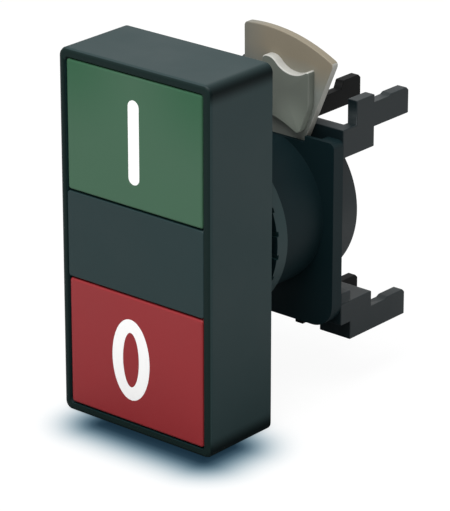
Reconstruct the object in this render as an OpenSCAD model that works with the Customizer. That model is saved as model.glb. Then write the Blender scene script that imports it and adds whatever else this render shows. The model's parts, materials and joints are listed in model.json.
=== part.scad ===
// Double push button for a control panel: a twin head with two flush caps, and its rear fixing collar.
// Seen from the front, +X is right and +Z is up. +Y runs back through the panel, the way a cap is pressed.
// The origin is on the neck's axis, in the plane of the panel's front face.

/* [Bezel] */
// Width of the bezel, side to side
bezel_w = 30; // [29:0.5:36]
// Height of the bezel, top to bottom
bezel_h = 59.4; // [57:0.2:70]
// How far the bezel stands out in front of the panel
bezel_d = 14.2; // [13.8:0.2:20]
// Thickness of the bezel's side walls
bezel_wall = 1.3; // [1:0.1:2]
// Thickness of the bezel's back
bezel_back = 1.6; // [1.4:0.1:2.2]
// Radius of the bezel's four long corners
bezel_corner_r = 1.4; // [1:0.1:3]
// Rounding of the bezel's front edge
bezel_edge = 0.6; // [0.2:0.1:1]

/* [Caps] */
// Height of the fixed panel between the caps
insert_h = 14; // [13:0.5:18]
// How far a cap travels when it's pressed
press_travel = 4; // [2:0.5:4]
// Running gap round each cap
cap_gap = 0.25; // [0.1:0.05:0.3]
// Thickness of a cap's face
cap_t = 1.4; // [1.2:0.1:1.6]
// Thickness of a cap's skirt
skirt_t = 1.2; // [0.8:0.1:1.6]
// Bevel round the face of a cap
cap_edge = 0.4; // [0.2:0.1:0.6]
// Height of the two marks
mark_h = 13.4; // [8:0.2:15]
// Width of the marks' stroke
mark_stroke = 2.2; // [1.4:0.1:2.4]
// Width of the 0
zero_w = 7.6; // [6:0.2:10]
// How far the 0 stands to the left of the cap's middle
zero_shift = 1; // [0:0.1:2]
// Depth to which the marks are inlaid
mark_t = 0.5; // [0.3:0.1:0.8]

/* [Neck] */
// Diameter of the neck's shoulder, which sits in the panel's hole
neck_d = 22; // [21:0.1:22.4]
// Length of the neck behind the panel's front face
neck_l = 19; // [18:0.5:21]
// Wall of the neck
neck_wall = 1.8; // [1.6:0.1:2.2]
// Depth of the lock groove and the lug slots
groove_depth = 1; // [0.8:0.1:1.2]
// Diameter of the pins that run down the neck
pin_d = 4; // [3:0.2:4.4]
// Diameter of the wire in the return springs
wire_d = 0.5; // [0.4:0.05:0.6]

/* [Collar] */
// Width of one contact block; the collar carries three side by side
block_w = 10; // [9.8:0.1:10.6]
// How far the collar's flange reaches down
flange_down = 17.8; // [17.6:0.1:20]
// How far the collar's flange reaches up
flange_up = 13; // [12.8:0.1:13.4]
// Thickness of the flange's wall in front of the lever
flange_wall = 0.7; // [0.6:0.1:1.2]
// Length of the barrel behind the flange
barrel_l = 4.8; // [3:0.2:6]
// Length of the latch arms behind the flange
arm_l = 16.3; // [14:0.1:20]
// Thickness of a latch arm
arm_t = 1.9; // [1.4:0.1:2.2]
// Height of a latch arm at its hook
arm_h = 4.3; // [3.8:0.1:5]
// How far the hook of an upper inner latch arm stands up
hook_rise = 1.3; // [0.8:0.1:1.6]

/* [Lever] */
// Thickness of the lever's ring and tab
lever_t = 1.4; // [1.2:0.1:2]
// How far the thumb pad stands out of the tab
pad_t = 1.5; // [1:0.1:2]
// Reach of the tab's outer edge from the neck's axis
tab_reach = 28.9; // [27:0.1:31]
// Width of the tab at its outer edge
tab_w = 18.6; // [15:0.2:19]
// Width of the tab where it leaves the ring
tab_root_w = 12.2; // [9:0.2:12.4]
// Lean of the open lever from upright
tab_lean = 11; // [8:1:13]
// Turn of the lever from open to locked
lever_turn = 28; // [27:0.5:30]

/* [Hidden] */
$fn = 96;
eps = 0.01;

// Colours
black_plastic = [0.17, 0.2, 0.2];
inner_plastic = [0.22, 0.23, 0.24];
rubber = [0.1, 0.1, 0.11];
cap_green = [0.2, 0.42, 0.3];
cap_red = [0.62, 0.16, 0.17];
mark_white = [0.95, 0.95, 0.94];
lever_grey = [0.55, 0.51, 0.43];
spring_steel = [0.7, 0.7, 0.68];

// Clearances
slide_gap = 0.1;
turn_gap = 0.15;
seat_gap = 0.1;
split_gap = 0.5;

// Stations along Y in the head, from the front to the back
front_y = -bezel_d;
chassis_t = 1.8;
seal_t = 0.6;
chassis_y = -bezel_back - chassis_t;
seal_y = chassis_y - seal_t;
skirt_y = seal_y - press_travel - seat_gap;
cap_in_y = front_y + cap_t;
carrier_t = 2.2;
ridge_h = 1.2;
carrier_y = cap_in_y + ridge_h;
carrier_back = carrier_y + carrier_t;
shoulder_y = 2;
piston_y = chassis_y + 0.4;
guide_t = 2;
guide_in = 0.8;
guide_y = neck_l - guide_in - guide_t;
ledge_t = 1;
ledge_in = 0.8;
ledge_y = guide_y - ledge_t;
pusher_t = 2;
pusher_y = neck_l + seat_gap;
pusher_skin = 0.6;

// The cap field inside the bezel
field_w = bezel_w - 2 * bezel_wall;
field_h = bezel_h - 2 * bezel_wall;
field_r = 0.6;
cap_w = field_w - 2 * cap_gap;
cap_h = (field_h - insert_h) / 2 - 2 * cap_gap;
cap_z = insert_h / 2 + cap_gap + cap_h / 2;
insert_leg = 1.4;
insert_frame = [3, 2];
insert_edge = 0.2;
panel_corner_r = 0.5;
inner_corner_r = 0.3;
cap_ridge = 1;
stud = [cap_w / 2 - 4.5, cap_h / 2 - 4];
stud_r = 1;
stud_head = 0.4;
stud_gap = 0.05;
press_gap = 0.02;
plate_gap = 0.3;
plate_in = skirt_t + plate_gap;

// The neck
neck_r = neck_d / 2;
bore_r = neck_r - neck_wall;
groove_r = neck_r - groove_depth;
shoulder_rise = 0.25;
run_r = neck_r - shoulder_rise;
shoulder_gap = 0.2;
nose_cut = 0.6;
nose_step = 0.2;
hole_gap = 0.05;
pin_r = pin_d / 2;
pin_x = bore_r / 2 + slide_gap;
key_w = 3;
key_in = 0.5;
gasket_t = 1.5;
gasket_sink = 0.6;
gasket_r = neck_r + 3.1;
gasket_in_r = neck_r + 0.9;
lip_t = 0.4;
lip_in = 0.3;
lip_w = 0.6;
nib_w = 2.4;
nib_in = neck_r + 0.9;
nib_out = neck_r + 1.75;

// Stations along Y in the collar, from the front to the back
collar_y = gasket_t + 0.5;
front_ring_t = 2.4;
lug_wall = 1.9;
flange_back = neck_l - lug_wall;
lever_back = flange_back - seat_gap;
lever_y = lever_back - lever_t;
flange_y = lever_y - seat_gap - flange_wall;
pad_y = lever_y - pad_t;
barrel_back = flange_back + barrel_l;
arm_back = flange_back + arm_l;

// The collar's round parts
collar_r = run_r + turn_gap;
ring_r = neck_r + 2.2;
rim_r = ring_r + turn_gap;
barrel_r = neck_r + 3.2;
front_ring_r = neck_r + 3.5;
nose_r = neck_r + 2;
grips = 24;
grip_w = 0.8;
grip_t = 0.4;
grip_l = 2.4;
peg_r = 0.8;
peg_l = 1.6;
peg_gap = 0.05;
peg_room = 0.3;
peg_low = [4.2, 3.4];
lugs = [30, 150, 270];
lug_half = 12;
lug_gap = 2;

// The flange, the mouth that the lever's tab swings in, and the bars behind that carry the arms
flange_w = bezel_w;
flange_r = 4;
flange_top_r = 1;
mouth_x = flange_w / 2 - 3;
mouth_z = 8.5;
notch_x = 9.2;
notch_z = 12;
peg_side = 1.6;
peg_up = (mouth_z + flange_up) / 2 + 0.6;
bar_t = 2.4;
bar_top = flange_up + 1.6;
bar_up = 10;
bar_down = -12.4;

// The latch arms
outer_x = 3 * block_w / 2;
inner_arm_x = block_w / 2 - 1.1;
inner_arm_t = arm_t - 0.3;
upper_arm_z = 13.2;
lower_arm_z = -flange_down - 3;
outer_rise = 0.3;
post_top = upper_arm_z + 5.3;
foot_top = -flange_down + 3.6;
post_l = 4.4;
post_y = flange_back + 3.3;
post_back = post_y + post_l;
hook_l = 4.4;
hook_lead = 0.6;
hook_round = 0.5;
gusset_l = 2.4;
foot_in = 6.1;
foot_y = flange_back + 2.3;

// The lever's tab, in a frame that leans with it
tab_root = ring_r - 1;
tab_round = 1.2;
pad_margin = 0.6;
pad_left = 1.2;
pad_right = 10.4;
pad_inner_r = 15.6;
pad_top = 24.8;
scoop_r = 4.5;
scoop_x = 7.2;
scoop_z = 22.7;
leaf_t = 0.3;
leaf_half = 17;
leaf_bump = 0.5;
leaf_gap = 0.15;

// Direction in the X and Z plane at an angle a, clockwise from the top as seen from the front
function way(a) = [sin(a), cos(a)];

// A rectangle with round corners, centred
module rounded_rect(w, h, r) {
    square([w - 2 * r, h], center = true);
    square([w, h - 2 * r], center = true);
    for (x = [-1, 1], z = [-1, 1])
        translate([x * (w / 2 - r), z * (h / 2 - r)])
            circle(r = r, $fn = 48);
}

// An outline in X and Z, given depth along Y from y0 to y1
module slab(y0, y1) {
    translate([0, y1, 0])
        rotate([90, 0, 0])
            linear_extrude(height = y1 - y0)
                children();
}

// An outline in Y and Z, given width along X from x0 to x1
module side_slab(x0, x1) {
    translate([x0, 0, 0])
        rotate([90, 0, 90])
            linear_extrude(height = x1 - x0)
                children();
}

// A box from its lowest corner to its highest
module block(low, high) {
    translate(low)
        cube(high - low);
}

// A tube round a line along Y
module tube(r_out, r_in, y0, y1) {
    slab(y0, y1)
        difference() {
            circle(r = r_out);
            circle(r = r_in);
        }
}

// A wedge from the centre between two clockwise angles, out to r
module wedge(r, a0, a1) {
    far = r / cos((a1 - a0) / 2);
    polygon([[0, 0], far * way(a0), far * way((a0 + a1) / 2), far * way(a1)]);
}

// A block with round long corners and a rounded front edge
module soft_block(w, h, corner_r, edge, y0, y1) {
    slab(y0 + edge, y1)
        rounded_rect(w, h, corner_r);
    hull() {
        slab(y0 + edge - eps, y0 + edge)
            rounded_rect(w, h, corner_r, $fn = 32);
        slab(y0 + 0.3 * edge, y0 + 0.3 * edge + eps)
            rounded_rect(w - 0.6 * edge, h - 0.6 * edge, corner_r - 0.3 * edge, $fn = 32);
        slab(y0, y0 + eps)
            rounded_rect(w - 2 * edge, h - 2 * edge, corner_r - 0.6 * edge, $fn = 32);
    }
}

// The outer frame: an open box whose back has the neck's hole and a seat for the gasket
module bezel() {
    pocket = [4.2, 8];
    pocket_t = 0.6;
    pocket_r = 0.5;
    color(black_plastic) {
        difference() {
            soft_block(bezel_w, bezel_h, bezel_corner_r, bezel_edge, front_y, 0);
            slab(front_y - 1, -bezel_back)
                rounded_rect(field_w, field_h, field_r);
            slab(-bezel_back - 1, 1)
                circle(r = neck_r + hole_gap);
            slab(-gasket_sink, 1)
                circle(r = gasket_r + seat_gap);
            slab(-pocket_t, 1)
                for (x = [-1, 0, 1], z = [-1, 1])
                    translate([x * (bezel_w - pocket[0]) / 3, z * (bezel_h / 2 - pocket[1])])
                        rounded_rect(pocket[0], pocket[1], pocket_r);
        }
        block([-nib_w / 2, -gasket_sink - eps, nib_in], [nib_w / 2, gasket_t - slide_gap, nib_out]);
    }
}

// The three slots through the back of the neck's outside, which the lever's lugs pass
module lug_slots() {
    slab(lever_y - turn_gap, neck_l + 1)
        for (a = lugs)
            intersection() {
                difference() {
                    circle(r = neck_r + 1);
                    circle(r = groove_r);
                }
                wedge(neck_r + 2, a - lug_half - lug_gap, a + lug_half + lug_gap);
            }
}

// The inner plate with the neck, its lock groove and the keyway that stops the collar from turning
module chassis() {
    color(inner_plastic)
        difference() {
            union() {
                slab(chassis_y, -bezel_back)
                    rounded_rect(field_w - 2 * seat_gap, field_h - 2 * seat_gap, field_r);
                slab(-bezel_back - eps, neck_l - nose_cut)
                    circle(r = run_r);
                slab(shoulder_gap - gasket_sink, collar_y - shoulder_gap)
                    circle(r = neck_r);
                slab(neck_l - nose_cut - eps, neck_l)
                    circle(r = run_r - nose_step);
            }
            slab(chassis_y - 1, ledge_y)
                circle(r = bore_r);
            slab(ledge_y - 1, guide_y + 1)
                circle(r = bore_r - ledge_in);
            slab(guide_y, neck_l + 1)
                circle(r = bore_r);
            tube(neck_r + 1, groove_r, lever_y - turn_gap, lever_back + seat_gap);
            lug_slots();
            block([-key_w / 2, collar_y, -neck_r - 1], [key_w / 2, neck_l + 1, -groove_r]);
        }
}

// The rubber sheet over the chassis, with the bore's hole
module inner_seal() {
    color(rubber)
        slab(seal_y, chassis_y)
            difference() {
                rounded_rect(field_w - 4 * seat_gap, field_h - 4 * seat_gap, field_r);
                circle(r = bore_r);
            }
}

// The fixed black panel between the caps, on two legs that stand on the rubber sheet
module centre_insert() {
    color(black_plastic) {
        difference() {
            soft_block(field_w - 2 * hole_gap, insert_h, panel_corner_r, insert_edge, front_y, cap_in_y);
            slab(cap_in_y - plate_gap, cap_in_y + 1)
                rounded_rect(field_w - 2 * insert_frame[0], insert_h - 2 * insert_frame[1], panel_corner_r);
        }
        for (x = [-1, 1])
            slab(cap_in_y - eps, seal_y)
                translate([x * (field_w / 2 - hole_gap - insert_leg / 2), 0])
                    square([insert_leg, insert_h - insert_frame[1]], center = true);
    }
}

// The round seal between the bezel and the panel, with a lip, notched for the bezel's nib
module panel_gasket() {
    color(rubber)
        difference() {
            union() {
                tube(gasket_r, gasket_in_r, -gasket_sink, gasket_t - lip_t);
                tube(gasket_r - lip_in, gasket_r - lip_in - lip_w, gasket_t - lip_t - eps, gasket_t);
            }
            block([-nib_w / 2 - slide_gap, -1, gasket_in_r - 1],
                [nib_w / 2 + slide_gap, gasket_t + 1, nib_out + slide_gap]);
        }
}

// The plate in the neck that guides both pins and seats both springs
module rear_guide() {
    color(inner_plastic)
        slab(guide_y, guide_y + guide_t)
            difference() {
                circle(r = bore_r - press_gap);
                for (x = [-1, 1])
                    translate([x * pin_x, 0])
                        circle(r = pin_r + slide_gap, $fn = 48);
            }
}

// The mark I
module one_outline() {
    square([mark_stroke, mark_h - mark_stroke], center = true);
    for (z = [-1, 1])
        translate([0, z * (mark_h - mark_stroke) / 2])
            circle(d = mark_stroke, $fn = 32);
}

// The mark 0
module zero_outline() {
    difference() {
        scale([zero_w / mark_h, 1])
            circle(d = mark_h, $fn = 48);
        scale([(zero_w - 2 * mark_stroke) / (mark_h - 2 * mark_stroke), 1])
            circle(d = mark_h - 2 * mark_stroke, $fn = 40);
    }
}

// A cap centred on z = 0: face, skirt, the notch for its carrier's arm, ribs and the carrier's studs.
// The carrier's arm leaves towards -Z, on the -X side. The mark's outline is the child.
module cap() {
    difference() {
        union() {
            difference() {
                soft_block(cap_w, cap_h, panel_corner_r, cap_edge, front_y, skirt_y);
                slab(cap_in_y, skirt_y + 1)
                    rounded_rect(cap_w - 2 * skirt_t, cap_h - 2 * skirt_t, inner_corner_r);
            }
            for (x = [-1, 1])
                slab(cap_in_y - eps, carrier_y)
                    translate([x * cap_w / 6, 0])
                        square([cap_ridge, cap_h - 2 * skirt_t + eps], center = true);
            for (x = [-1, 1], z = [-1, 1])
                slab(cap_in_y - eps, carrier_back + stud_head)
                    translate([x * stud[0], z * stud[1]])
                        circle(r = stud_r, $fn = 32);
        }
        slab(front_y - 1, front_y + mark_t)
            children();
        block([-arm_out - notch_gap, carrier_y - notch_gap, -cap_h / 2 - 1],
            [-split_gap + notch_gap, skirt_y + 1, -cap_h / 2 + skirt_t + slide_gap]);
    }
}

// How far out the carrier's arm reaches in X, half the height of its block, and the notch round the arm
arm_out = 7.4;
arm_half = 5.2;
notch_gap = 0.2;

// A cap's carrier: a plate under the cap, an arm to the middle, a half-round piston in the neck and its pin
module plunger() {
    difference() {
        slab(carrier_y, carrier_back)
            translate([0, cap_z])
                rounded_rect(cap_w - 2 * plate_in, cap_h - 2 * plate_in, panel_corner_r);
        slab(carrier_y - 1, carrier_back + 1)
            for (x = [-1, 1], z = [-1, 1])
                translate([x * stud[0], cap_z + z * stud[1]])
                    circle(r = stud_r + stud_gap, $fn = 32);
    }
    block([-arm_out, carrier_y, -arm_half], [-split_gap, carrier_back, cap_z - cap_h / 2 + skirt_t + 1]);
    block([-arm_out, carrier_back - eps, -arm_half], [-split_gap, piston_y + seat_gap, arm_half]);
    slab(piston_y, shoulder_y)
        difference() {
            circle(r = bore_r - slide_gap);
            translate([-split_gap, -bore_r])
                square([2 * bore_r, 2 * bore_r]);
        }
    slab(shoulder_y - eps, pusher_y + pusher_t - pusher_skin)
        translate([-pin_x, 0])
            circle(r = pin_r, $fn = 48);
}

// The half-round pad clipped on a pin's end, which works the contact block behind it
module pusher() {
    difference() {
        slab(pusher_y, pusher_y + pusher_t)
            difference() {
                circle(r = groove_r - seat_gap);
                translate([-split_gap, -neck_r])
                    square([2 * neck_r, 2 * neck_r]);
            }
        slab(pusher_y - 1, pusher_y + pusher_t - pusher_skin)
            translate([-pin_x, 0])
                circle(r = pin_r + press_gap, $fn = 48);
    }
}

// A return spring of round wire, with one closed turn at each end
coil_turns = 8;
coil_steps = 12;
wire_sides = 6;
coil_gap = 0.6;
coil_r = pin_r + wire_d / 2 + coil_gap;
coil_y0 = shoulder_y + wire_d / 2;
coil_y1 = guide_y - wire_d / 2;
open_turns = coil_turns - 2;

// How far along its length the spring is after t turns
function coil_y(t) =
    t < 1 ? coil_y0 + t * wire_d :
    t > coil_turns - 1 ? coil_y1 - (coil_turns - t) * wire_d :
    coil_y0 + wire_d + (t - 1) / open_turns * (coil_y1 - coil_y0 - 2 * wire_d);

// A point on the wire's skin, at ring i and side j
function wire_point(i, j) =
    let (t = i / coil_steps, a = 360 * t, b = 360 * j / wire_sides, r = coil_r + wire_d / 2 * cos(b))
    [r * cos(a), coil_y(t) + wire_d / 2 * sin(b), r * sin(a)];

module return_spring() {
    rings = coil_turns * coil_steps;
    skin = [for (i = [0:rings], j = [0:wire_sides - 1]) wire_point(i, j)];
    sides = [for (i = [0:rings - 1], j = [0:wire_sides - 1])
        let (k = (j + 1) % wire_sides, a = i * wire_sides, b = a + wire_sides)
        [a + j, b + j, b + k, a + k]];
    ends = [[for (j = [0:wire_sides - 1]) j], [for (j = [wire_sides - 1:-1:0]) rings * wire_sides + j]];
    color(spring_steel)
        translate([-pin_x, 0, 0])
            polyhedron(skin, concat(sides, ends));
}

// The lower button is the upper one turned half way round about Y
module half_turn() {
    rotate([0, 180, 0])
        children();
}

module on_cap() {
    color(cap_green)
        translate([0, 0, cap_z])
            cap() one_outline();
}

module on_mark() {
    color(mark_white)
        translate([0, 0, cap_z])
            slab(front_y, front_y + mark_t)
                one_outline();
}

module on_plunger() {
    color(inner_plastic)
        plunger();
}

module on_spring() {
    return_spring();
}

module on_pusher() {
    color(inner_plastic)
        pusher();
}

module off_cap() {
    color(cap_red)
        half_turn()
            translate([0, 0, cap_z])
                cap()
                    translate([zero_shift, 0])
                        zero_outline();
}

module off_mark() {
    color(mark_white)
        translate([-zero_shift, 0, -cap_z])
            slab(front_y, front_y + mark_t)
                zero_outline();
}

module off_plunger() {
    color(inner_plastic)
        half_turn()
            plunger();
}

module off_spring() {
    half_turn()
        return_spring();
}

module off_pusher() {
    color(inner_plastic)
        half_turn()
            pusher();
}

// The four places where the collar's two halves are pegged together
module at_pegs() {
    for (x = [-1, 1])
        translate([x * (flange_w / 2 - peg_side), peg_up])
            children();
    for (x = [-1, 1])
        translate([x * (flange_w / 2 - peg_low[0]), -flange_down + peg_low[1]])
            children();
}

// The flange seen from the front: round corners below, small ones above
module flange_outline() {
    hull_h = flange_up + flange_down;
    intersection() {
        translate([0, (flange_up - flange_down) / 2 + flange_r])
            rounded_rect(flange_w, hull_h + 2 * flange_r, flange_r);
        translate([0, (flange_up - flange_down) / 2])
            rounded_rect(flange_w, hull_h, flange_top_r);
    }
}

// The notches across the front ring's edge, whose ridges grip the panel
module grip_notches() {
    for (i = [0:grips - 1])
        rotate([0, (i + 0.5) * 360 / grips, 0])
            block([-grip_w / 2, collar_y - 1, front_ring_r - grip_l],
                [grip_w / 2, collar_y + grip_t, front_ring_r + 1]);
}

// The front half of the collar: the ring that clamps the panel, and the flange that houses the lever
module collar_cover() {
    color(black_plastic) {
        difference() {
            union() {
                slab(collar_y, collar_y + front_ring_t)
                    circle(r = front_ring_r);
                slab(collar_y + front_ring_t - eps, flange_y + eps)
                    circle(r = nose_r);
                slab(flange_y, flange_back)
                    flange_outline();
            }
            slab(collar_y - 1, flange_back + 1)
                circle(r = collar_r);
            grip_notches();
            slab(flange_y - 1, flange_back + 1)
                translate([-notch_x, notch_z])
                    square([2 * notch_x, flange_up]);
            slab(flange_y + flange_wall, flange_back + 1) {
                circle(r = rim_r);
                translate([-mouth_x, mouth_z])
                    square([2 * mouth_x, flange_up]);
                intersection() {
                    circle(r = rim_r + leaf_t + 2 * leaf_gap);
                    wedge(rim_r + 2, 180 - leaf_half - 1, 180 + leaf_half + 1);
                }
            }
        }
        slab(flange_back - eps, flange_back + peg_l)
            at_pegs() circle(r = peg_r, $fn = 32);
    }
}

// The side view of a latch arm on z0, from y0 back, with the hook that stands up by rise at its end
module arm_outline(y0, z0, rise) {
    top = z0 + arm_h;
    polygon([[y0, z0], [arm_back, z0], [arm_back, top - hook_round], [arm_back - hook_round, top],
        [arm_back - hook_l, top], [arm_back - hook_l - hook_lead, top - rise], [y0, top - rise]]);
}

// The latch arms of one side, the inner arm's gusset, and the post and the foot that carry the outer arms
module latch_arms() {
    side_slab(outer_x - arm_t, outer_x) {
        translate([flange_back, bar_up])
            square([post_back - flange_back, bar_top - bar_up]);
        translate([post_y, bar_up])
            square([post_l, post_top - bar_up]);
        arm_outline(post_back - 1, upper_arm_z, outer_rise);
        arm_outline(post_back - 1, lower_arm_z, outer_rise);
    }
    side_slab(inner_arm_x, inner_arm_x + inner_arm_t) {
        arm_outline(flange_back, upper_arm_z, hook_rise);
        polygon([[flange_back + eps, bar_up], [flange_back + bar_t, bar_up],
            [flange_back + bar_t + gusset_l, upper_arm_z + eps], [flange_back + eps, upper_arm_z + eps]]);
        arm_outline(foot_y, lower_arm_z, outer_rise);
        translate([flange_back, -flange_down])
            square([foot_y - flange_back + 1, flange_down + lower_arm_z + arm_h - outer_rise]);
    }
    block([outer_x - foot_in, flange_back, -flange_down], [outer_x, post_back, foot_top]);
    block([outer_x - foot_in, foot_y, lower_arm_z], [outer_x, post_back, -flange_down + eps]);
}

// The rear half of the collar: the barrel that runs on the neck, its key, two bars and the latch arms
module collar_frame() {
    color(black_plastic)
        difference() {
            union() {
                slab(flange_back, barrel_back)
                    circle(r = barrel_r);
                block([-flange_w / 2, flange_back, bar_up], [flange_w / 2, flange_back + bar_t, bar_top]);
                slab(flange_back, flange_back + bar_t)
                    intersection() {
                        flange_outline();
                        translate([-flange_w / 2, -flange_down])
                            square([flange_w, flange_down + bar_down]);
                    }
                latch_arms();
                mirror([1, 0, 0])
                    latch_arms();
            }
            difference() {
                slab(flange_back - 1, barrel_back + 1)
                    circle(r = collar_r);
                block([-key_w / 2 + slide_gap, flange_back - 2, -collar_r - 1],
                    [key_w / 2 - slide_gap, neck_l - key_in, -groove_r - slide_gap]);
            }
            slab(flange_back - 1, flange_back + peg_l + peg_room)
                at_pegs() circle(r = peg_r + peg_gap, $fn = 32);
        }
}

// The tab's outline, upright: its edges spread outwards and its end is an arc about the neck's axis
module tab_outline() {
    far = tab_reach + 4;
    spread = (tab_w - tab_root_w) / 2 / (tab_reach - ring_r);
    half_far = tab_w / 2 + spread * (far - tab_reach);
    half_root = tab_root_w / 2 - spread * (ring_r - tab_root);
    offset(r = tab_round, $fn = 32)
        offset(delta = -tab_round)
            intersection() {
                polygon([[half_root, tab_root], [half_far, far], [-half_far, far], [-half_root, tab_root]]);
                circle(r = tab_reach, $fn = 240);
            }
}

// The thumb pad, which stands upright on the leaning tab and has its top edge scooped out
module pad_outline() {
    difference() {
        intersection() {
            rotate(-tab_lean)
                offset(delta = -pad_margin)
                    tab_outline();
            translate([pad_left, 0])
                square([pad_right - pad_left, pad_top]);
        }
        translate([scoop_x, scoop_z + scoop_r])
            circle(r = scoop_r, $fn = 64);
        circle(r = pad_inner_r);
    }
}

// The lock lever: a ring that turns on the neck inside the collar, with three lugs and a thumb tab
module lock_lever() {
    color(lever_grey) {
        difference() {
            slab(lever_y, lever_back)
                union() {
                    circle(r = ring_r);
                    rotate(-tab_lean)
                        difference() {
                            tab_outline();
                            circle(r = tab_root);
                        }
                }
            slab(lever_y - 1, lever_back + 1)
                circle(r = collar_r);
            slab(lever_y - 1, lever_back + 1)
                for (a = [180, 180 + lever_turn])
                    translate((ring_r + seat_gap) * way(a))
                        circle(r = leaf_bump + leaf_gap, $fn = 32);
        }
        slab(lever_y + seat_gap, lever_back - seat_gap)
            for (a = lugs)
                intersection() {
                    difference() {
                        circle(r = collar_r + 0.5);
                        circle(r = groove_r + turn_gap);
                    }
                    wedge(neck_r + 2, a - lug_half, a + lug_half);
                }
        slab(pad_y, lever_y + eps)
            pad_outline();
    }
}

// The steel leaf behind the lever's ring, whose bump drops into the ring's notches
module lever_spring() {
    color(spring_steel)
        slab(lever_y + 2 * seat_gap, lever_back - 2 * seat_gap)
            union() {
                intersection() {
                    difference() {
                        circle(r = rim_r + leaf_t + leaf_gap);
                        circle(r = rim_r + leaf_gap);
                    }
                    wedge(rim_r + 2, 180 - leaf_half, 180 + leaf_half);
                }
                intersection() {
                    translate([0, -rim_r - leaf_bump / 2])
                        circle(r = leaf_bump, $fn = 32);
                    circle(r = rim_r + leaf_t);
                }
            }
}

bezel();
chassis();
inner_seal();
centre_insert();
panel_gasket();
rear_guide();
on_cap();
on_mark();
on_plunger();
on_spring();
on_pusher();
off_cap();
off_mark();
off_plunger();
off_spring();
off_pusher();
collar_cover();
collar_frame();
lock_lever();
lever_spring();
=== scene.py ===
"""Double push button: the finish of every piece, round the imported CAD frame.

Lengths in this file are in millimetres, and one factor, MM, brings them to Blender's metres.
The frame's origin is on the neck's axis at the panel's front face. +X is right as seen from the front, +Y runs back
through the panel, and +Z is up.
"""
import json

import bmesh
import bpy
import numpy as np
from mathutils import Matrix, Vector

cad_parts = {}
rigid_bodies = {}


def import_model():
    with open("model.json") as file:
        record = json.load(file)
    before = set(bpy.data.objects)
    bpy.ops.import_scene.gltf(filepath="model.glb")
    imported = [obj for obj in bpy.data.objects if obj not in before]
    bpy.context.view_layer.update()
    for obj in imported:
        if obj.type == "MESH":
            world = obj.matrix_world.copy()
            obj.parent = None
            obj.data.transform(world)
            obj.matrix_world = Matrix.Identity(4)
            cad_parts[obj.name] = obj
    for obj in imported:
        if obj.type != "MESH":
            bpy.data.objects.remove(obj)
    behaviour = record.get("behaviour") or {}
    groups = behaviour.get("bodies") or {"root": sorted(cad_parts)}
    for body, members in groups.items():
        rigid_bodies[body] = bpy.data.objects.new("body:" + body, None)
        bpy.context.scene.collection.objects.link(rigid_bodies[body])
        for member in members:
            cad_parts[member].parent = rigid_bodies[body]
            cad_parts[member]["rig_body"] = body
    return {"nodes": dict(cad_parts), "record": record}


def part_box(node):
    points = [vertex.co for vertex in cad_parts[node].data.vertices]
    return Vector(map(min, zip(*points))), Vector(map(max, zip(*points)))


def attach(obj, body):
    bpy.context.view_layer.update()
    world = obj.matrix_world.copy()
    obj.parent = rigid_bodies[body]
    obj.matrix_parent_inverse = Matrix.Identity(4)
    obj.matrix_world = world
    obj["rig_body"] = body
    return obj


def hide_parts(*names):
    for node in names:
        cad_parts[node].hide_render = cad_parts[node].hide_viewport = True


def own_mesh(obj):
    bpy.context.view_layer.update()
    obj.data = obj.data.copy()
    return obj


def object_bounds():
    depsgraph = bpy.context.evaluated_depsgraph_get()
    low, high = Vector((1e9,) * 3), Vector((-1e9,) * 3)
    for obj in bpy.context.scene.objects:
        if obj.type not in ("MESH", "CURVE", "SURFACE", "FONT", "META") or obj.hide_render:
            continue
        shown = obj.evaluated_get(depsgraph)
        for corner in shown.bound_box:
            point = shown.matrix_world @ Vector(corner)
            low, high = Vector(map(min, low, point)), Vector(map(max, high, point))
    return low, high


MM = 0.001

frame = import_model()
cad_low, cad_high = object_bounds()
nodes = frame["nodes"]
SLOTS = {row["node"]: row["material_slot"] for row in frame["record"]["subparts"]}


def into_scene(name, data):
    """A new object in the scene, from its mesh, camera or lamp."""
    obj = bpy.data.objects.new(name, data)
    bpy.context.scene.collection.objects.link(obj)
    return obj


def box_mm(node):
    """A CAD node's lowest and highest corners, in millimetres."""
    return [np.array(corner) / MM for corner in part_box(node)]


# Camera

def aim_camera():
    """The photograph's own view: a long lens to the right of the head and above it, found from the bezel's corners.

    The focal length and the frame's height are in the photograph's pixels.
    """
    yaw, pitch = np.radians(40.322), np.radians(21.761)
    distance, off_right, off_up = 513.034, -4.399, 4.241
    focal_px, frame_px, sensor = 3345.8, 511, 36.0
    back = np.array([np.sin(yaw) * np.cos(pitch), -np.cos(yaw) * np.cos(pitch), np.sin(pitch)])
    right = np.array([np.cos(yaw), np.sin(yaw), 0.0])
    up = np.cross(back, right)
    data = bpy.data.cameras.new("camera")
    data.sensor_width = sensor
    data.lens = focal_px * sensor / frame_px
    data.clip_start, data.clip_end = 0.05, 20
    camera = into_scene("camera", data)
    camera.location = Vector((back * distance - right * off_right - up * off_up) * MM)
    camera.rotation_euler = (np.pi / 2 - pitch, 0, yaw)
    bpy.context.scene.camera = camera


# Steps that the materials share

def node_adder(tree):
    """Empties a node tree, and gives the helper that adds a node to it and sets or links the node's inputs."""
    tree.nodes.clear()

    def add(kind, inputs=None, **settings):
        node = tree.nodes.new(kind)
        for key, value in settings.items():
            setattr(node, key, value)
        for key, value in (inputs or {}).items():
            if isinstance(value, bpy.types.NodeSocket):
                tree.links.new(value, node.inputs[key])
            else:
                node.inputs[key].default_value = value
        return node

    return add


def new_material(name):
    """A node material, the helper that adds its nodes, and the Object coordinates that its patterns follow."""
    material = bpy.data.materials.new(name)
    material.use_nodes = True
    add = node_adder(material.node_tree)
    return material, add, add("ShaderNodeTexCoord").outputs["Object"]


def rgba(colour, share=1.0):
    """A colour, or a share of it, as a node takes it."""
    return (*(share * c for c in colour), 1)


def metres(*lengths):
    """Millimetres as metres."""
    return [length * MM for length in lengths]


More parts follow.
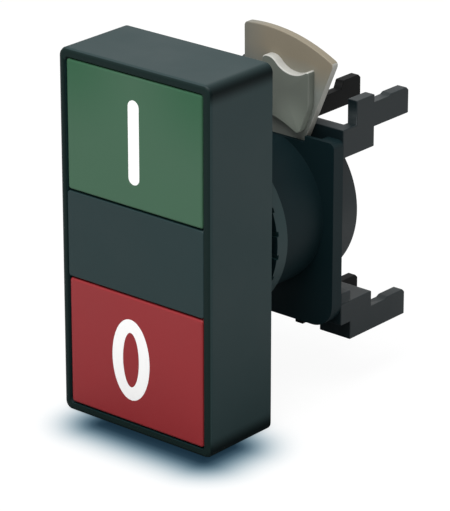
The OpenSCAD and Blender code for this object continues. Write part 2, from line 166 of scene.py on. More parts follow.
def noise(add, at, waves, detail=2.0, rough=0.5):
    """Soft noise from nought to one, with so many waves to a metre."""
    node = add("ShaderNodeTexNoise", {"Vector": at, "Scale": waves, "Detail": detail, "Roughness": rough})
    return node.outputs["Fac"]


def maths(add, operation, *values):
    """One step of arithmetic, on numbers or on what other nodes give."""
    return add("ShaderNodeMath", dict(enumerate(values)), operation=operation).outputs["Value"]


def length_of(add, across, along):
    """The straight way from corner to corner of a rectangle with these two sides."""
    corner = add("ShaderNodeCombineXYZ", {"X": across, "Y": along})
    return add("ShaderNodeVectorMath", {0: corner.outputs["Vector"]}, operation="LENGTH").outputs["Value"]


def ranged(add, value, source=(0.0, 1.0), result=(0.0, 1.0), **settings):
    """A value carried over from one range to another, and held at the two ends."""
    ends = {"From Min": source[0], "From Max": source[1], "To Min": result[0], "To Max": result[1]}
    return add("ShaderNodeMapRange", {"Value": value, **ends}, **settings).outputs["Result"]


def mixed(add, share, first, second):
    """A colour that goes from the first to the second as the share goes from nought to one."""
    return add("ShaderNodeMix", {"Factor": share, "A": first, "B": second}, data_type="RGBA").outputs["Result"]


def near_corner(add, at, x, z, reach):
    """One along the four lines at +-x and +-z that run in Y, down to nought at the reach from them, in an S curve."""
    place = add("ShaderNodeSeparateXYZ", {"Vector": at})
    across, along = (maths(add, "SUBTRACT", maths(add, "ABSOLUTE", place.outputs[axis]), line * MM)
                     for axis, line in (("X", x), ("Z", z)))
    return ranged(add, length_of(add, across, along), metres(0, reach), (1.0, 0.0), interpolation_type="SMOOTHSTEP")


CLOUD_BAND = (0.3, 0.7)     # the part of the slow noise that the roughness follows
GRAIN_STRENGTH = 0.06


def plastic_surface(add, tone, cloud, fine, height, rough, specular):
    """A plastic's shader: its tone, a roughness that follows the clouds between two levels, and a fine eroded grain."""
    spread = ranged(add, cloud, CLOUD_BAND, rough)
    grain = add("ShaderNodeBump", {"Height": fine, "Strength": GRAIN_STRENGTH, "Distance": height * MM})
    shader = add("ShaderNodeBsdfPrincipled", {
        "Base Color": tone, "Roughness": spread, "Specular IOR Level": specular, "Normal": grain.outputs["Normal"]})
    add("ShaderNodeOutputMaterial", {"Surface": shader.outputs["BSDF"]})


# Materials

def moulded_plastic(name, colour, rough, specular, shade=0.9, corner=None):
    """Moulded plastic: a fine grain in the bump, cloudy roughness, and a colour that shifts down to its shade.

    A corner paints light and shade along four lines in Y: their X and Z, how far it reaches from them, the share of the
    colour that is left on them, which below one is painted shade and above one painted light, and the share of the
    gloss that is left on them, which cuts the reflection there as painted shade.
    """
    cloud_waves, cloud_detail, rough_swing = 90.0, 3.0, 0.04
    grain, grain_height, grain_rough = 0.22, 0.1, 0.6
    material, add, at = new_material(name)
    cloud = noise(add, at, cloud_waves, cloud_detail)
    tone = mixed(add, cloud, rgba(colour, shade), rgba(colour))
    levels = (rough - rough_swing, rough + rough_swing)
    # Near the corner lines, the colour and the gloss are scaled as painted light and shade.
    if corner:
        near = near_corner(add, at, corner["x"], corner["z"], corner["reach"])
        tone = mixed(add, near, tone, rgba(colour, corner["painted_shading"]))
        if corner["gloss"] < 1:
            specular = ranged(add, near, result=(specular, corner["gloss"] * specular))
    fine = noise(add, at, 1 / (grain * MM), rough=grain_rough)
    plastic_surface(add, tone, cloud, fine, grain_height * grain, levels, specular)
    return material


def lever_plastic(name, lit_brown, grey, shaded_dark_grey):
    """The lever's plastic with painted light and shade: brown where the tab's outer end is lit, grey at its root in the
    bezel's painted shade, and darker to the left as painted shade, with a fine grain.
    """
    warm_z, warm_x, side_x, sway = (23, 27), (-6, 1), (-8, 7), 4
    cloud_waves, fine_waves, fine_height = 160.0, 4500.0, 0.02
    material, add, at = new_material(name)
    place = add("ShaderNodeSeparateXYZ", {"Vector": at})
    cloud = noise(add, at, cloud_waves)
    swayed = maths(add, "MULTIPLY_ADD", cloud, sway * MM, place.outputs["Z"])
    up = ranged(add, swayed, metres(*warm_z))
    across = ranged(add, place.outputs["X"], metres(*warm_x))
    side = ranged(add, place.outputs["X"], metres(*side_x))
    shaded_tone = mixed(add, side, rgba(shaded_dark_grey), rgba(grey))
    tone = mixed(add, maths(add, "MULTIPLY", up, across), shaded_tone, rgba(lit_brown))
    plastic_surface(add, tone, cloud, noise(add, at, fine_waves), fine_height, rough=(0.44, 0.54), specular=0.35)
    return material


def drawn_steel(name, colour):
    """Spring wire: metal with fine streaks in its roughness."""
    streak_waves, rough = 2500.0, (0.22, 0.4)
    material, add, at = new_material(name)
    spread = ranged(add, noise(add, at, streak_waves), result=rough)
    shader = add("ShaderNodeBsdfPrincipled", {"Base Color": rgba(colour), "Metallic": 1.0, "Roughness": spread})
    add("ShaderNodeOutputMaterial", {"Surface": shader.outputs["BSDF"]})
    return material


SATIN_BLACK = (0.004, 0.0215, 0.023)
# The collar's own black, painted darker than the bezel's as the shade between the bezel and the flange.
DEEP_SHADE_BLACK = (0.0015, 0.007, 0.009)

# One finish for each of the record's material slots
FINISHES = {
    "black": moulded_plastic("satin_black", SATIN_BLACK, rough=0.55, specular=0.33),
    "collar": moulded_plastic("collar_black_painted_shade", DEEP_SHADE_BLACK, rough=0.5, specular=0.33),
    "inner": moulded_plastic("inner_grey", (0.012, 0.018, 0.02), rough=0.5, specular=0.35),
    "rubber": moulded_plastic("gasket_rubber", (0.008, 0.008, 0.009), rough=0.75, specular=0.25),
    # Near the cap's top corners its gloss is cut, which darkens them: painted shade.
    "green": moulded_plastic("cap_green", (0.037, 0.106, 0.058), rough=0.5, specular=0.33,
                             corner={"x": 13.0, "z": 29.0, "reach": 15.0, "painted_shading": 1.0, "gloss": 0.1}),
    "red": moulded_plastic("cap_red", (0.26, 0.015, 0.019), rough=0.5, specular=0.33),
    "white": moulded_plastic("mark_white", (0.95, 0.95, 0.94), rough=0.4, specular=0.4, shade=0.98),
    # The lever's brown and its two greys are painted light and painted shade on one plastic.
    "lever": lever_plastic("lever_grey_brown", lit_brown=(0.215, 0.187, 0.136), grey=(0.2, 0.215, 0.195),
                           shaded_dark_grey=(0.085, 0.095, 0.087)),
    "spring": drawn_steel("spring_steel", (0.55, 0.55, 0.53)),
}

# Finishes of single pieces, and of some faces of a piece
# The bezel is painted darker and less glossy close to the long edges where its sides meet its top and its foot: painted
# shade.
CASE_BLACK = moulded_plastic("case_black", SATIN_BLACK, rough=0.55, specular=0.33,
                             corner={"x": 15.0, "z": 28.5, "reach": 2.3, "painted_shading": 0.2, "gloss": 0.2})
# The bezel's front rim round the caps, painted darker and less glossy as shade.
RIM_SHADE_BLACK = moulded_plastic("rim_painted_shade", (0.003, 0.012, 0.011), rough=0.6, specular=0.12)
# The collar cover's black, painted darker as the shade between the bezel and the flange.
COVER_SHADE_BLACK = moulded_plastic("cover_black_painted_shade", (0.002, 0.0105, 0.013), rough=0.6, specular=0.14)
# The cover's front ring, where light falls, keeps a lighter black without the cover's painted shade.
RING_BLACK = moulded_plastic("ring_black", (0.006, 0.025, 0.027), rough=0.5, specular=0.3)
# Painted shade on the inner arms: nearly black, for the shade that they stand in.
SHADE_BLACK = moulded_plastic("inner_arm_painted_shade", (0.0006, 0.0008, 0.001), rough=0.6, specular=0.12)
# The thumb pad: its grey is painted shade, the bezel's shade on the lever's lower part, and near its lower corners it
# is painted lighter, as painted light.
PAD_SHADE_GREY = moulded_plastic("pad_painted_shade_grey", (0.125, 0.14, 0.12), rough=0.45, specular=0.35,
                           corner={"x": 7.0, "z": 14.5, "reach": 6.0, "painted_shading": 1.7, "gloss": 1.0})
# A painted highlight on the tab's right edge.
LEVER_EDGE_HIGHLIGHT = moulded_plastic("lever_edge_painted_highlight", (0.33, 0.33, 0.3), rough=0.35, specular=0.5)
# A painted highlight on the pad's scooped top.
SCOOP_HIGHLIGHT = moulded_plastic("scoop_painted_highlight", (0.46, 0.46, 0.43), rough=0.35, specular=0.5)


def finish(obj, material):
    """Gives a piece its material, in the place of any that it had."""
    obj.data.materials.clear()
    obj.data.materials.append(material)
    return obj


def fit_to(piece, node, material=None):
    """A piece stands for a CAD node: it rides on its body, the node is hidden, and it has the finish of the node's slot
    or its own.
    """
    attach(piece, nodes[node]["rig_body"])
    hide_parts(node)
    return finish(piece, material or FINISHES[SLOTS[node]])


def second_finish(piece, second, chosen):
    """The second material on the faces that the test picks, from X, Y and Z of their centres and of their normals."""
    faces = piece.data.polygons
    centre, normal = np.empty((len(faces), 3)), np.empty((len(faces), 3))
    faces.foreach_get("center", centre.ravel())
    faces.foreach_get("normal", normal.ravel())
    piece.data.materials.append(second)
    faces.foreach_set("material_index", chosen(centre.T / MM, normal.T).astype(np.int32))


# Outlines in X and Z

def arc(centre, radius, start, end, steps):
    """Points along a circle's arc, from one angle to the other in degrees: centre plus radius times (cos, sin)."""
    turn = np.radians(np.linspace(start, end, steps + 1))
    return np.stack([centre[0] + radius * np.cos(turn), centre[1] + radius * np.sin(turn)], axis=1)


def circle(radius, steps):
    """A full circle round the neck's axis, whose last point isn't the first one again."""
    return arc((0, 0), radius, 0, 360, steps)[:-1]


def ellipse(centre, half, steps=96):
    """A circle stretched to its own half width and half height."""
    return centre + circle(1.0, steps) * half


def capsule(centre, width, height, steps=16):
    """An upright bar with round ends: two half circles, joined by straight sides."""
    radius, run = width / 2, (height - width) / 2
    top = arc((centre[0], centre[1] + run), radius, 0, 180, steps)
    low = arc((centre[0], centre[1] - run), radius, 180, 360, steps)
    return np.concatenate([top, low])


def turned(outline, degrees):
    """An outline turned clockwise about the neck's axis, as seen from the front."""
    a = np.radians(degrees)
    return outline @ np.array([[np.cos(a), -np.sin(a)], [np.sin(a), np.cos(a)]])


def evenly(outline, step):
    """The same closed outline with its points a step apart, found by the length run along it."""
    closed = np.vstack([outline, outline[:1]])
    run = np.concatenate([[0.0], np.cumsum(np.linalg.norm(np.diff(closed, axis=0), axis=1))])
    at = np.linspace(0, run[-1], int(round(run[-1] / step)) + 1)[:-1]
    return np.stack([np.interp(at, run, closed[:, k]) for k in (0, 1)], axis=1)


def rolled(outline, step, reach):
    """Corners rolled over: each point becomes the mean of the outline over a short run to both sides of it."""
    points = evenly(outline, step)
    half = max(1, int(round(reach / step)))
    return np.mean([np.roll(points, k, axis=0) for k in range(-half, half + 1)], axis=0)


def inset(outline, depth):
    """Each point moved in along its own normal, which is square to the line between its two neighbours."""
    along = np.roll(outline, -1, axis=0) - np.roll(outline, 1, axis=0)
    normal = np.stack([along[:, 1], -along[:, 0]], axis=1)
    normal /= np.maximum(np.linalg.norm(normal, axis=1, keepdims=True), 1e-9)
    return outline - normal * depth


# Surfaces

CREASE = np.radians(40.0)                       # a new surface is sharp where its faces turn by more
HARD, ROLL_STEPS = np.radians(35.0), 3          # a solid's edge is rolled over where its faces turn by more
SAME_POINT, FLAT = 0.001, np.radians(0.5)       # closer points are merged, and flatter edges are taken out
SLAB_BACK_EDGE, SLAB_BACK_STEPS = 0.05, 2       # a slab's back rim is hidden, so it is rolled over less


def even_normals(piece):
    """Normals weighted by the area and the corner angle of each face, so a flat face stays flat by a rolled edge."""
    normals = piece.modifiers.new("normals", "WEIGHTED_NORMAL")
    normals.mode = "FACE_AREA_WITH_ANGLE"
    normals.keep_sharp = True
    return piece


def mesh_piece(name, points, faces):
    """A piece from points in millimetres, its faces turned outwards by the sign of the volume that they close in.

    Quads are shaded smooth, and the flat ends aren't.
    """
    mesh = bpy.data.meshes.new(name)
    mesh.from_pydata((points * MM).tolist(), [], faces)
    work = bmesh.new()
    work.from_mesh(mesh)
    if work.calc_volume(signed=True) < 0:
        bmesh.ops.reverse_faces(work, faces=work.faces)
    work.to_mesh(mesh)
    work.free()
    mesh.polygons.foreach_set("use_smooth", [len(face) == 4 for face in faces])
    mesh.set_sharp_from_angle(angle=CREASE)
    return even_normals(into_scene(name, mesh))


def ring_grid(rings, wrap):
    """Quads of a grid of rings: each ring closes on itself, and with wrap the last ring closes on the first."""
    rows, cols = rings.shape[:2]
    index = np.arange(rows * cols).reshape(rows, cols)
    ahead = np.roll(index, -1, axis=1)
    low, high = (index, np.roll(index, -1, axis=0)) if wrap else (index[:-1], index[1:])
    low_ahead, high_ahead = (ahead, np.roll(ahead, -1, axis=0)) if wrap else (ahead[:-1], ahead[1:])
    return np.stack([low, low_ahead, high_ahead, high], axis=-1).reshape(-1, 4).tolist()


def at_depth(outline, y):
    """An outline in X and Z set at its place along Y, or at a place for each of its points."""
    return np.stack([outline[:, 0], np.zeros(len(outline)) + y, outline[:, 1]], axis=1)


def edge_rings(outline, y_face, y_side, edge, steps=4):
    """Rings round a quarter turn, from the side wall to the face: in by edge (1 - cos), along Y by edge (1 - sin).

    An edge below zero is a bore's: its outline moves out instead of in.
    """
    turn = np.linspace(0, np.pi / 2, steps + 1)
    depth = np.sign(y_side - y_face) * abs(edge)
    return [at_depth(inset(outline, edge * (1 - np.cos(a))), y_face + depth * (1 - np.sin(a))) for a in turn]


def slab(name, outline, y_front, y_back, edge):
    """A closed slab: the outline carried from back to front along Y, with both rims rolled over.

    Each flat end is a fan of triangles round the middle of the outline, which sees the whole of it.
    """
    back = edge_rings(outline, y_back, y_front, SLAB_BACK_EDGE, SLAB_BACK_STEPS)[::-1]
    front = edge_rings(outline, y_front, y_back, edge)
    rings = np.array(back + front)
    rows, cols = rings.shape[:2]
    ends = at_depth(np.tile(outline.mean(axis=0), (2, 1)), np.array([y_back, y_front]))
    rim = np.arange(cols)
    ahead, last = np.roll(rim, -1), (rows - 1) * cols
    fans = [np.stack([ahead, rim, np.full(cols, rows * cols)], axis=1),
            np.stack([rim + last, ahead + last, np.full(cols, rows * cols + 1)], axis=1)]
    faces = ring_grid(rings, wrap=False) + np.concatenate(fans).tolist()
    return mesh_piece(name, np.vstack([rings.reshape(-1, 3), ends]), faces)


def hoop(name, rings):
    """A closed hoop: the rings of its section, joined one after another and the last to the first."""
    rings = np.array(rings)
    return mesh_piece(name, rings.reshape(-1, 3), ring_grid(rings, wrap=True))


def plate(name, outer, inner, y_front, y_back, edge):
    """A closed ring plate: a section with four rolled corners, carried round between an outer and an inner outline."""
    rings = edge_rings(outer, y_front, y_back, edge)
    rings += edge_rings(inner, y_front, y_back, -edge)[::-1]
    rings += edge_rings(inner, y_back, y_front, -edge)
    rings += edge_rings(outer, y_back, y_front, edge)[::-1]
    return hoop(name, rings)


def coil(name, centre_x, radius, wire, y0, y1, turns, sides=10, steps=32):
    """A spring: a circle of wire carried along a helix about an axis in Y, with one closed turn at each end."""
    t = np.linspace(0, turns, turns * steps + 1)
    ends = np.minimum(t, 1) * wire + np.maximum(t - turns + 1, 0) * wire
    open_length = y1 - y0 - 2 * wire
    y = y0 + ends + np.clip((t - 1) / (turns - 2), 0, 1) * open_length
    phase = np.linspace(0, 2 * np.pi, sides, endpoint=False)
    reach = radius + wire / 2 * np.cos(phase)
    a = 2 * np.pi * t[:, None]
    rings = np.stack([centre_x + reach * np.cos(a), y[:, None] + wire / 2 * np.sin(phase), reach * np.sin(a)], axis=-1)
    first, last = list(range(sides)), list(range((len(t) - 1) * sides, len(t) * sides))
    return mesh_piece(name, rings.reshape(-1, 3), ring_grid(rings, wrap=False) + [first[::-1], last])


def merged_copy(node):
    """A copy of a CAD node's mesh, its doubles merged and its flat faces made whole, still open to work on."""
    mesh = nodes[node].data.copy()
    mesh.name = node + "_moulding"
    work = bmesh.new()
    work.from_mesh(mesh)
    bmesh.ops.remove_doubles(work, verts=work.verts, dist=SAME_POINT * MM)
    bmesh.ops.dissolve_limit(work, angle_limit=FLAT, verts=work.verts, edges=work.edges)
    return mesh, work


def settled(mesh, work):
    """The worked copy as a piece in the scene, shaded smooth all over."""
    work.to_mesh(mesh)
    work.free()
    mesh.shade_smooth()
    return into_scene(mesh.name, mesh)


def softened(node, edge):
    """A merged copy of a CAD node, its hard edges rolled over by a small radius, or left sharp where it is nought."""
    piece = settled(*merged_copy(node))
    if edge:
        bevel = piece.modifiers.new("edge", "BEVEL")
        bevel.width, bevel.segments = edge * MM, ROLL_STEPS
        bevel.limit_method, bevel.angle_limit = "ANGLE", HARD
    else:
        piece.data.set_sharp_from_angle(angle=HARD)
    return even_normals(piece)


def rounded(node, edge):
    """A merged copy whose outward corners are rolled over at full width, and whose inward ones are left sharp.

    Every point is then held inside the node's own box.
    """
    mesh, work = merged_copy(node)
    hard = [e for e in work.edges if e.calc_face_angle() > HARD]
    for corner in hard:
        corner.smooth = corner.is_convex
    bmesh.ops.bevel(work, geom=[e for e in hard if e.is_convex], offset=edge * MM, offset_type="OFFSET",
                    segments=ROLL_STEPS, profile=0.5, affect="EDGES", clamp_overlap=False)
    piece = settled(mesh, work)
    places = np.empty((len(mesh.vertices), 3))
    mesh.vertices.foreach_get("co", places.ravel())
    mesh.vertices.foreach_set("co", np.clip(places, *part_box(node)).ravel())
    mesh.update()
    return even_normals(piece)


# Mouldings: copies of the solids. Where the radius is nought, the solid's own roundings are what shows.

SOFT_EDGES = {"centre_insert": 0, "on_cap": 0, "off_cap": 0, "collar_cover": 0.18, "chassis": 0.12, "on_pusher": 0.12,
              "off_pusher": 0.12, "rear_guide": 0.1, "on_plunger": 0.1, "off_plunger": 0.1, "inner_seal": 0.08}
FRAME_EDGE = 0.16
RIM_DEPTH = 0.3                                         # the bezel's front rim, behind its foremost point
FRONT_RING_R, FRONT_RING_BACK = 13.0, 5.2               # the cover's front ring: inside radius, and where it ends
INNER_ARMS_X, ARMS_FROM_Y, ARMS_FROM_Z = 8, 19, 12.6    # they lie within this X, and beyond this Y and height


def front_rim(at, _):
    """The bezel's narrow rim round the caps, which is painted darker as shade."""
    return at[1] < cad_low[1] / MM + RIM_DEPTH


def front_ring(at, _):
    """The ring with the grips at the front of the collar."""
    return (np.hypot(at[0], at[2]) > FRONT_RING_R) & (at[1] < FRONT_RING_BACK)


def inner_arms(at, _):
    """The inner pairs of arms, which stand behind the flange, above and below the barrel, and are painted nearly black
    as shade.
    """
    return (np.abs(at[0]) < INNER_ARMS_X) & (at[1] > ARMS_FROM_Y) & (np.abs(at[2]) > ARMS_FROM_Z)


OWN_FINISH = {"collar_cover": COVER_SHADE_BLACK, "bezel": CASE_BLACK}
SECOND_FINISH = {"collar_cover": (RING_BLACK, front_ring), "collar_frame": (SHADE_BLACK, inner_arms),
                 "bezel": (RIM_SHADE_BLACK, front_rim)}


def fit_moulding(piece, node):
    """A copy stands for its solid, in its one finish or its two."""
    fit_to(piece, node, OWN_FINISH.get(node))
    if node in SECOND_FINISH:
        second_finish(piece, *SECOND_FINISH[node])


def fit_mouldings():
    """The head's shells and inner pieces, and the two halves of the collar."""
    for node, edge in SOFT_EDGES.items():
        fit_moulding(softened(node, edge), node)
    fit_moulding(rounded("collar_frame", FRAME_EDGE), "collar_frame")
    fit_moulding(softened("bezel", 0), "bezel")


# Marks, inlaid flush with the caps

MARK_EDGE = 0.04


def fit_marks():
    """The I, an upright bar, and the 0, an upright ellipse with the same stroke, each as big as its node's box."""
    low, high = box_mm("on_mark")
    middle, stroke = (low + high) / 2, high[0] - low[0]
    bar = capsule(middle[[0, 2]], stroke, high[2] - low[2])
    fit_to(slab("on_mark_inlay", bar, low[1], high[1], MARK_EDGE), "on_mark")
    low, high = box_mm("off_mark")
    middle, half = (low + high)[[0, 2]] / 2, (high - low)[[0, 2]] / 2
    oval, hole = ellipse(middle, half), ellipse(middle, half - stroke)
    fit_to(plate("off_mark_inlay", oval, hole, low[1], high[1], MARK_EDGE), "off_mark")


# Lock lever: a ring with a leaning tab, and the thumb pad on it. Angles are in degrees.

LEVER_T, PAD_T, PAD_SUNK = 1.4, 1.5, 0.1                                # thickness, and the pad's depth in the tab
LEVER_ROLL = 0.16                                                       # the radius of their rolled edges
RING_R, RING_IN_R = 13.2, 10.9
LUGS, LUG_R, LUG_HALF, LUG_RAMP = (60, -60, 180), 10.15, 15.0, 6.0      # middles, tip, half width, run of the rise
DETENTS, DETENT_R, DETENT_OUT = (-90, -118), 0.65, 0.1                  # notches: their middles lie outside the ring
TAB_LEAN, TAB_REACH, TAB_HALF, ROOT_HALF = 11, 28.9, 9.3, 6.1
TAB_STEP, TAB_CORNER = 0.3, 0.6                                         # between its points, and its corners' reach
SCOOP, SCOOP_R = (7.2, 27.2), 4.5
PAD_LEFT, PAD_RIGHT, PAD_TOP, PAD_LOW_R, PAD_MARGIN = 1.2, 10.4, 24.8, 15.6, 0.6
PAD_STEP, PAD_CORNER = 0.12, 0.9
FACING_RIGHT, FACING_UP, FACING_FRONT = 0.75, 0.55, 0.99                # parts of a face's normal
TAB_EDGE_R = 14.2                                                       # the tab's painted highlight on its right edge starts at this radius


def off_by(angle, centre):
    """How far an angle is from a centre, from -180 to 180."""
    return (angle - centre + 180) % 360 - 180


def meets(slope, start, radius):
    """The height at which the tab's side, where x is start plus slope times z, meets a circle round the neck."""
    return (-start * slope + np.sqrt(radius ** 2 * (1 + slope ** 2) - start ** 2)) / (1 + slope ** 2)


def tab_side():
    """The tab's right side, upright, as a line: its slope, and its X at the height of the neck's axis."""
    slope = (TAB_HALF - ROOT_HALF) / (TAB_REACH - RING_R)
    return slope, ROOT_HALF - slope * RING_R


def lever_outline():
    """The ring's circle and the tab's two straight sides and outer arc, leaned, with the detents cut into the ring."""
    slope, start = tab_side()
    heights = [meets(slope, start, radius) for radius in (RING_R, TAB_REACH)]
    low_a, top_a = (np.degrees(np.arctan2(z, start + slope * z)) for z in heights)
    upright = np.concatenate([arc((0, 0), TAB_REACH, top_a, 180 - top_a, steps=60),
                              arc((0, 0), RING_R, 180 - low_a, 360 + low_a, steps=300)])
    points = turned(rolled(upright, TAB_STEP, TAB_CORNER), TAB_LEAN)
    radius, angle = np.hypot(*points.T), np.degrees(np.arctan2(points[:, 1], points[:, 0]))
    for centre in DETENTS:
        near = np.radians(off_by(angle, centre))
        middle = RING_R + DETENT_OUT
        room = DETENT_R ** 2 - (middle * np.sin(near)) ** 2
        cut = middle * np.cos(near) - np.sqrt(np.maximum(room, 0))
        radius = np.where((room > 0) & (np.cos(near) > 0), np.minimum(radius, cut), radius)
    return radius[:, None] * np.stack([np.cos(np.radians(angle)), np.sin(np.radians(angle))], axis=1), angle


def lug_circle(angle):
    """The bore at each angle: its radius less the lugs' rise, which comes in as 3 t t - 2 t t t at a lug's two ends."""
    radius = np.full(len(angle), RING_IN_R)
    for centre in LUGS:
        into = np.clip((LUG_HALF - np.abs(off_by(angle, centre))) / LUG_RAMP, 0, 1)
        radius -= into ** 2 * (3 - 2 * into) * (RING_IN_R - LUG_R)
    turn = np.radians(angle)
    return radius[:, None] * np.stack([np.cos(turn), np.sin(turn)], axis=1)


def pad_outline():
    """An upright block on the leaning tab: its left side, a low arc, the tab's side set in, and a scooped top."""
    slope, start = tab_side()
    lean = np.radians(TAB_LEAN)
    z = np.linspace(RING_R, TAB_REACH, num=400)
    side = turned(np.stack([start + slope * z, z], axis=1), TAB_LEAN)
    square = np.array([np.cos(lean + np.arctan(slope)), -np.sin(lean + np.arctan(slope))])
    side = side - square * PAD_MARGIN
    side = side[(np.hypot(*side.T) > PAD_LOW_R) & (side[:, 0] < PAD_RIGHT)]
    low_start = np.degrees(np.arccos(PAD_LEFT / PAD_LOW_R))
    low = arc((0, 0), PAD_LOW_R, low_start, np.degrees(np.arctan2(side[0, 1], side[0, 0])), steps=24)
    right_up = SCOOP[1] - np.sqrt(SCOOP_R ** 2 - (PAD_RIGHT - SCOOP[0]) ** 2)
    first = np.degrees(np.arctan2(right_up - SCOOP[1], PAD_RIGHT - SCOOP[0]))
    last = np.degrees(-np.pi + np.arcsin((SCOOP[1] - PAD_TOP) / SCOOP_R))
    scoop = arc(SCOOP, SCOOP_R, first, last, steps=40)
    return rolled(np.concatenate([low, side, scoop, [[PAD_LEFT, PAD_TOP]]]), PAD_STEP, PAD_CORNER)


def highlit_tab_edge(at, normal):
    """The tab's right edge, clear of the ring, which takes a painted highlight."""
    return (normal[0] > FACING_RIGHT) & (np.hypot(at[0], at[2]) > TAB_EDGE_R)


def highlit_scoop_wall(at, normal):
    """The pad's scooped top and the rolled edge round it, but not its flat front: they take a painted highlight."""
    return (normal[2] > FACING_UP * np.hypot(normal[0], normal[2])) & (np.abs(normal[1]) < FACING_FRONT)


def fit_lever():
    """The ring with its tab, and the thumb pad set a little into the tab's front, as two pieces for one node."""
    back = box_mm("lock_lever")[1][1]
    front = back - LEVER_T
    outline, angle = lever_outline()
    lever = plate("lever_ring_and_tab", outline, lug_circle(angle), front, back, LEVER_ROLL)
    second_finish(fit_to(lever, "lock_lever"), LEVER_EDGE_HIGHLIGHT, highlit_tab_edge)
    pad = slab("lever_thumb_pad", pad_outline(), front - PAD_T, front + PAD_SUNK, LEVER_ROLL)
    second_finish(fit_to(pad, "lock_lever", PAD_SHADE_GREY), SCOOP_HIGHLIGHT, highlit_scoop_wall)


# Panel gasket: a flat ring with a low round lip, notched inside for the bezel's nib

ROUND = 360                                         # steps round each of its circles
LIP_UP, LIP_IN, LIP_HALF = 0.4, 0.6, 0.3            # height, middle from the rim, and half width
BORE_R, NOTCH_HALF, NOTCH_RAMP, NOTCH_UP = 11.9, 1.35, 0.3, 12.9
RIM_ROLL, BORE_ROLL = 0.2, 0.15


def nib_circle():
    """The bore, whose top steps out to a flat-topped notch: where x is within the notch, z is the notch's height."""
    points = circle(BORE_R, ROUND)
    into = np.clip((NOTCH_HALF - np.abs(points[:, 0])) / NOTCH_RAMP, 0, 1) * (points[:, 1] > 0)
    points[:, 1] += into * (NOTCH_UP - points[:, 1])
    return points


def fit_gasket():
    """One section carried round: the rim and the bore with rolled corners, and the lip's half circle at the back."""
    low, high = box_mm("panel_gasket")
    front, back = low[1], high[1] - LIP_UP
    rim, bore = circle(high[0], ROUND), nib_circle()
    lip = [at_depth(circle(high[0] - LIP_IN + LIP_HALF * np.cos(a), ROUND), back + LIP_UP * np.sin(a))
           for a in np.linspace(np.pi, 0, num=9)]
    rings = edge_rings(rim, front, back, RIM_ROLL) + edge_rings(bore, front, back, -BORE_ROLL)[::-1]
    rings += edge_rings(bore, back, front, -BORE_ROLL) + lip + edge_rings(rim, back, front, RIM_ROLL)[::-1]
    fit_to(hoop("gasket_with_lip", rings), "panel_gasket")


# Return springs: round wire

WIRE, TURNS, PRESS = 0.5, 8, 4.0


def fit_springs():
    """A coil in each spring's own box along Y, with a mesh of its own."""
    for node, joint in {"on_spring": "on_press", "off_spring": "off_press"}.items():
        low, high = box_mm(node)
        middle, radius = (high[0] + low[0]) / 2, (high[0] - low[0] - WIRE) / 2
        spring = coil(node + "_wire", middle, radius, WIRE, low[1] + WIRE / 2, high[1] - WIRE / 2, TURNS)
        fit_to(spring, node)
        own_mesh(spring)


# Floor and light

# The contact shadow: its strip's middle and half size along X and Y, how it spreads, and how its colours fall off
STRIP = {"X": (3.9, 9.9), "Y": (-11.6, 2.9)}
SPREAD, SPREAD_END, SPREAD_POWER = 6.7, 16.0, 2.4
DEEPEST, COOL, SHADOW_STOPS = 0.97, (1.28, 1.0, 0.86), 15

# The floor: half its width, how far it lies below the bezel, and for the camera its white and the share that is lit
FLOOR_HALF, FLOOR_GAP, FLOOR_GLOW, FLOOR_LIT = 3000.0, 0.02, 1.02, 0.1

# As other rays meet the floor: its painted shade close by the object, its colour in the open, and how that fades
FLOOR_PAINTED_SHADE, PALE_FLOOR, DIM_REACH, DIM_POWER = (0.02, 0.025, 0.03), (0.7, 0.7, 0.7), 70.0, 2.7

SOFT_LIGHT = 0.6    # the level of the light all round


def contact_shadow(add, at):
    """The floor's colour round the bezel's foot: 1 less the depth times exp(-(distance / spread) ** power).

    The distance is measured from a strip under the bezel's front, and the shadow is cooler where it is deeper.
    """
    place = add("ShaderNodeSeparateXYZ", {"Vector": at})
    beyond = []
    for axis, (middle, half) in STRIP.items():
        wide = maths(add, "ABSOLUTE", maths(add, "SUBTRACT", place.outputs[axis], middle * MM))
        beyond.append(maths(add, "MAXIMUM", maths(add, "SUBTRACT", wide, half * MM), 0.0))
    share = ranged(add, length_of(add, *beyond), metres(0, SPREAD_END))
    ramp = add("ShaderNodeValToRGB", {"Fac": share})
    at_share = np.linspace(0, 1, SHADOW_STOPS)
    level = 1 - DEEPEST * np.exp(-(at_share * SPREAD_END / SPREAD) ** SPREAD_POWER)
    tones = np.column_stack([level[:, None] ** COOL, np.ones(SHADOW_STOPS)])
    stops = ramp.color_ramp.elements
    stops[0].color, stops[1].color = tones[0], tones[-1]
    for position, tone in zip(at_share[1:-1], tones[1:-1]):
        stops.new(position).color = tone
    return ramp.outputs["Color"]


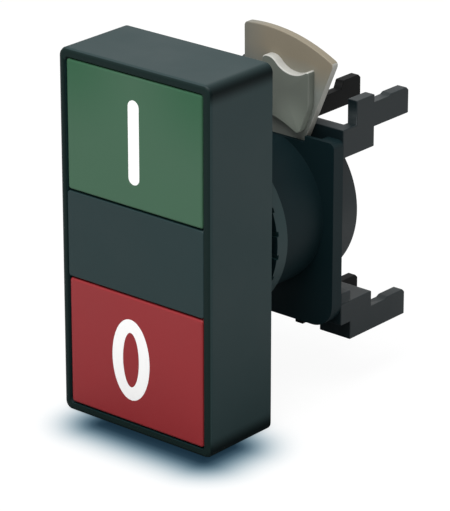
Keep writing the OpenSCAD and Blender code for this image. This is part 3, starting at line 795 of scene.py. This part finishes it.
def pale_floor():
    """A wide pale floor under the bezel's lower end.

    The camera sees it white, with a cool painted shadow close round the object. Other rays meet a plain pale floor
    that is painted darker right beside the object, as shade.
    """
    level = cad_low[2] / MM - FLOOR_GAP
    corners = [(x * FLOOR_HALF, y * FLOOR_HALF, level) for x, y in ((-1, -1), (1, -1), (1, 1), (-1, 1))]
    mesh = bpy.data.meshes.new("floor")
    mesh.from_pydata([metres(*corner) for corner in corners], [], [(0, 1, 2, 3)])
    material, add, at = new_material("pale_floor")
    tone = contact_shadow(add, at)
    glow = add("ShaderNodeEmission", {"Color": tone, "Strength": FLOOR_GLOW})
    shown = add("ShaderNodeBsdfDiffuse", {"Color": tone})
    both = add("ShaderNodeMixShader", {"Fac": FLOOR_LIT, 1: glow.outputs["Emission"], 2: shown.outputs["BSDF"]})
    open_wide = add("ShaderNodeAmbientOcclusion", {"Distance": DIM_REACH * MM}, samples=4)
    fall = maths(add, "POWER", open_wide.outputs["AO"], DIM_POWER)
    # Painted shade: the floor's colour darkens where little of the open sky is seen.
    lit = add("ShaderNodeBsdfDiffuse", {"Color": mixed(add, fall, rgba(FLOOR_PAINTED_SHADE), rgba(PALE_FLOOR))})
    seen = add("ShaderNodeMixShader", {"Fac": add("ShaderNodeLightPath").outputs["Is Camera Ray"],
                                       1: lit.outputs["BSDF"], 2: both.outputs["Shader"]})
    add("ShaderNodeOutputMaterial", {"Surface": seen.outputs["Shader"]})
    finish(into_scene("floor", mesh), material)


def studio_world():
    """White to the camera and in reflections, and a plain soft grey as the light all round."""
    world = bpy.data.worlds.new("studio")
    bpy.context.scene.world = world
    world.use_nodes = True
    add = node_adder(world.node_tree)
    path = add("ShaderNodeLightPath")
    seen = path.outputs["Is Camera Ray"]
    for kind in ("Is Glossy Ray", "Is Transmission Ray"):
        seen = maths(add, "MAXIMUM", seen, path.outputs[kind])
    background = add("ShaderNodeBackground", {"Color": (1, 1, 1, 1),
                                              "Strength": ranged(add, seen, result=(SOFT_LIGHT, 1.0))})
    add("ShaderNodeOutputWorld", {"Surface": background.outputs["Background"]})


def softbox(name, place, size, watts):
    """A square area lamp at a place, turned to the frame's origin."""
    data = bpy.data.lights.new(name, "AREA")
    data.size, data.energy = size * MM, watts
    lamp = into_scene(name, data)
    lamp.location = Vector(place) * MM
    lamp.rotation_euler = (-Vector(place)).to_track_quat("-Z", "Y").to_euler()


# The part, and then the studio

for node, obj in nodes.items():
    finish(obj, FINISHES[SLOTS[node]])
fit_mouldings()
fit_marks()
fit_lever()
fit_gasket()
fit_springs()

aim_camera()
studio_world()
pale_floor()
softbox("top_softbox", place=(40, -190, 420), size=340, watts=2.4)
bpy.context.scene.view_settings.view_transform = "Standard"
